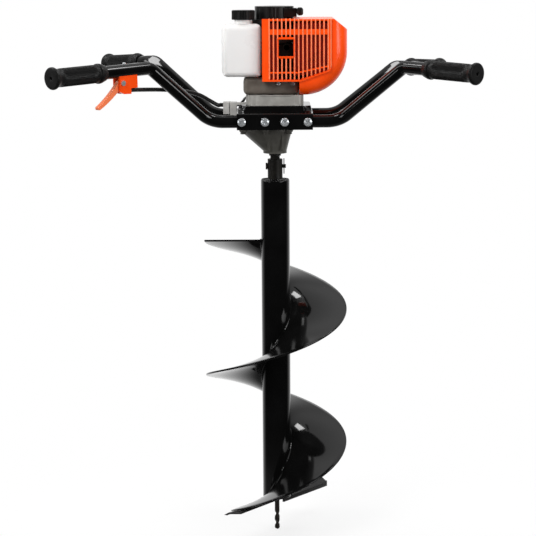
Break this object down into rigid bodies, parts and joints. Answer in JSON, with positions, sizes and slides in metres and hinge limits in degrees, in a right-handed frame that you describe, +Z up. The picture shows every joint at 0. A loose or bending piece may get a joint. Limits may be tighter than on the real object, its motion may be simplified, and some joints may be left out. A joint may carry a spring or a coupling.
{
  "type": "earth auger",
  "caption": "Hand-held petrol earth auger with a finned engine, centrifugal clutch, reduction gearbox, splayed handlebars and a helical digging bit.",
  "frame": {"origin": "the flat end of the pilot point, on the auger axis", "axes": "+Z up along the auger axis to the engine, +X to the cylinder side and along the handlebars, -Y to the pictured front with the slotted guard"},
  "size_m": [0.8337, 0.6532, 1.122],
  "materials": {
    "black_paint": "gloss black powder coat",
    "blade_steel": "black painted steel with worn edges",
    "pilot_steel": "brown-black forged steel",
    "grip_rubber": "matt black rubber",
    "zinc_steel": "bright zinc plate",
    "gear_case": "dark warm grey cast aluminium",
    "light_casting": "light grey cast aluminium",
    "engine_casting": "warm grey cast aluminium",
    "machined_steel": "machined steel",
    "machined_aluminium": "machined aluminium",
    "muffler_steel": "matt dark heat-resistant paint",
    "orange_plastic": "gloss orange plastic",
    "black_plastic": "satin black plastic",
    "tank_plastic": "translucent white polyethylene",
    "reel_plastic": "natural nylon",
    "red_plastic": "red plastic",
    "soft_rubber": "black rubber",
    "bulb_rubber": "translucent red rubber",
    "rope_fibre": "braided white cord",
    "plug_ceramic": "plated steel and white ceramic"
  },
  "bodies": {
    "frame": {"deck_plate": "black_paint", "front_handlebar": "black_paint", "rear_handlebar": "black_paint", "front_left_grip": "grip_rubber", "front_right_grip": "grip_rubber", "rear_left_grip": "grip_rubber", "rear_right_grip": "grip_rubber", "handlebar_screws": "zinc_steel", "cable_bracket": "light_casting", "gearbox_housing": "gear_case", "gearbox_cover": "gear_case", "casing_bolts": "gear_case", "output_seal": "soft_rubber", "ball_bearings": "machined_steel", "clutch_housing": "light_casting", "crankcase": "engine_casting", "cylinder": "engine_casting", "spark_plug": "plug_ceramic", "spark_plug_boot": "soft_rubber", "piston": "machined_aluminium", "connecting_rod": "machined_steel", "muffler": "muffler_steel", "muffler_guard": "orange_plastic", "cylinder_cover": "orange_plastic", "ignition_coil": "black_plastic", "starter_housing": "black_plastic", "fuel_tank": "tank_plastic", "carburettor": "machined_aluminium", "air_filter_cover": "black_plastic", "throttle_housing": "orange_plastic", "throttle_screws": "zinc_steel", "throttle_cable": "soft_rubber"},
    "auger": {"output_shaft": "blade_steel", "output_gear": "machined_steel", "auger_tube": "black_paint", "auger_flight": "black_paint", "second_wing": "black_paint", "cutting_blades": "blade_steel", "pilot_point": "pilot_steel", "bit_socket": "black_paint", "hitch_pin": "blade_steel", "hitch_clip": "blade_steel"},
    "countershaft": {"countershaft": "machined_steel", "countershaft_gear": "machined_steel"},
    "clutch_drum": {"clutch_drum": "machined_steel"},
    "crank": {"crankshaft": "machined_steel", "flywheel": "machined_aluminium", "clutch_shoes": "machined_steel"},
    "throttle_lever": {"throttle_lever": "orange_plastic"},
    "carburettor_lever": {"carburettor_lever": "machined_steel"},
    "stop_switch": {"stop_switch": "red_plastic"},
    "cap_gasket": {"cap_gasket": "soft_rubber"},
    "fuel_cap": {"fuel_cap": "black_plastic"},
    "starter_handle": {"starter_handle": "black_plastic", "starter_rope": "rope_fibre"},
    "starter_reel": {"starter_reel": "reel_plastic"},
    "choke_lever": {"choke_lever": "black_plastic"},
    "primer_bulb": {"primer_bulb": "bulb_rubber"}
  },
  "joints": [
    {"name": "auger_spin", "type": "hinge", "parent": "frame", "child": "auger", "pos_m": [0, 0, 0], "axis": [0, 0, 1], "continuous": true},
    {"name": "countershaft_spin", "type": "hinge", "parent": "frame", "child": "countershaft", "pos_m": [-0.036, 0, 0.88], "axis": [0, 0, 1], "continuous": true},
    {"name": "drum_spin", "type": "hinge", "parent": "frame", "child": "clutch_drum", "pos_m": [0, 0, 0.9], "axis": [0, 0, 1], "continuous": true},
    {"name": "crank_spin", "type": "hinge", "parent": "frame", "child": "crank", "pos_m": [0, 0, 1.01], "axis": [0, 0, 1], "continuous": true},
    {"name": "throttle_squeeze", "type": "hinge", "parent": "frame", "child": "throttle_lever", "pos_m": [-0.30228, -0.20413, 0.98092], "axis": [-0.7193, 0.6947, 0], "range_deg": [0, 30], "stiffness_Nm_per_rad": 0.4, "springref_deg": -17.19},
    {"name": "carburettor_throttle", "type": "hinge", "parent": "frame", "child": "carburettor_lever", "pos_m": [0.055, 0.0622, 1.036], "axis": [0, 0, 1], "range_deg": [0, 60]},
    {"name": "stop_switch_slide", "type": "slide", "parent": "frame", "child": "stop_switch", "axis": [-0.6943, -0.719, -0.0314], "range_m": [0, 0.006]},
    {"name": "cap_lift", "type": "slide", "parent": "frame", "child": "cap_gasket", "axis": [0, 0, 1], "range_m": [0, 0.0081]},
    {"name": "cap_turn", "type": "hinge", "parent": "cap_gasket", "child": "fuel_cap", "pos_m": [-0.063, -0.042, 1.1], "axis": [0, 0, 1], "range_deg": [0, 720]},
    {"name": "starter_pull", "type": "slide", "parent": "frame", "child": "starter_handle", "axis": [1, 0, 0], "range_m": [0, 0.7], "stiffness_N_per_m": 15, "springref_m": -0.6, "deforming": ["starter_rope"]},
    {"name": "starter_reel_spin", "type": "hinge", "parent": "frame", "child": "starter_reel", "pos_m": [0, 0, 1.112], "axis": [0, 0, 1], "range_deg": [0, 1440]},
    {"name": "choke_turn", "type": "hinge", "parent": "frame", "child": "choke_lever", "pos_m": [0.0752, 0.0722, 1.01], "axis": [-1, 0, 0], "range_deg": [0, 60]},
    {"name": "primer_press", "type": "slide", "parent": "frame", "child": "primer_bulb", "axis": [0, 0, 1], "range_m": [0, 0.004], "stiffness_N_per_m": 400}
  ],
  "couplings": [
    {"joint": "countershaft_spin", "follows": "auger_spin", "ratio": -3.8},
    {"joint": "drum_spin", "follows": "auger_spin", "ratio": 14.44},
    {"joint": "carburettor_throttle", "follows": "throttle_squeeze", "ratio": 2},
    {"joint": "cap_lift", "follows": "cap_turn", "m_per_rad": 0.00063662},
    {"joint": "starter_reel_spin", "follows": "starter_pull", "rad_per_m": 35.714}
  ]
}
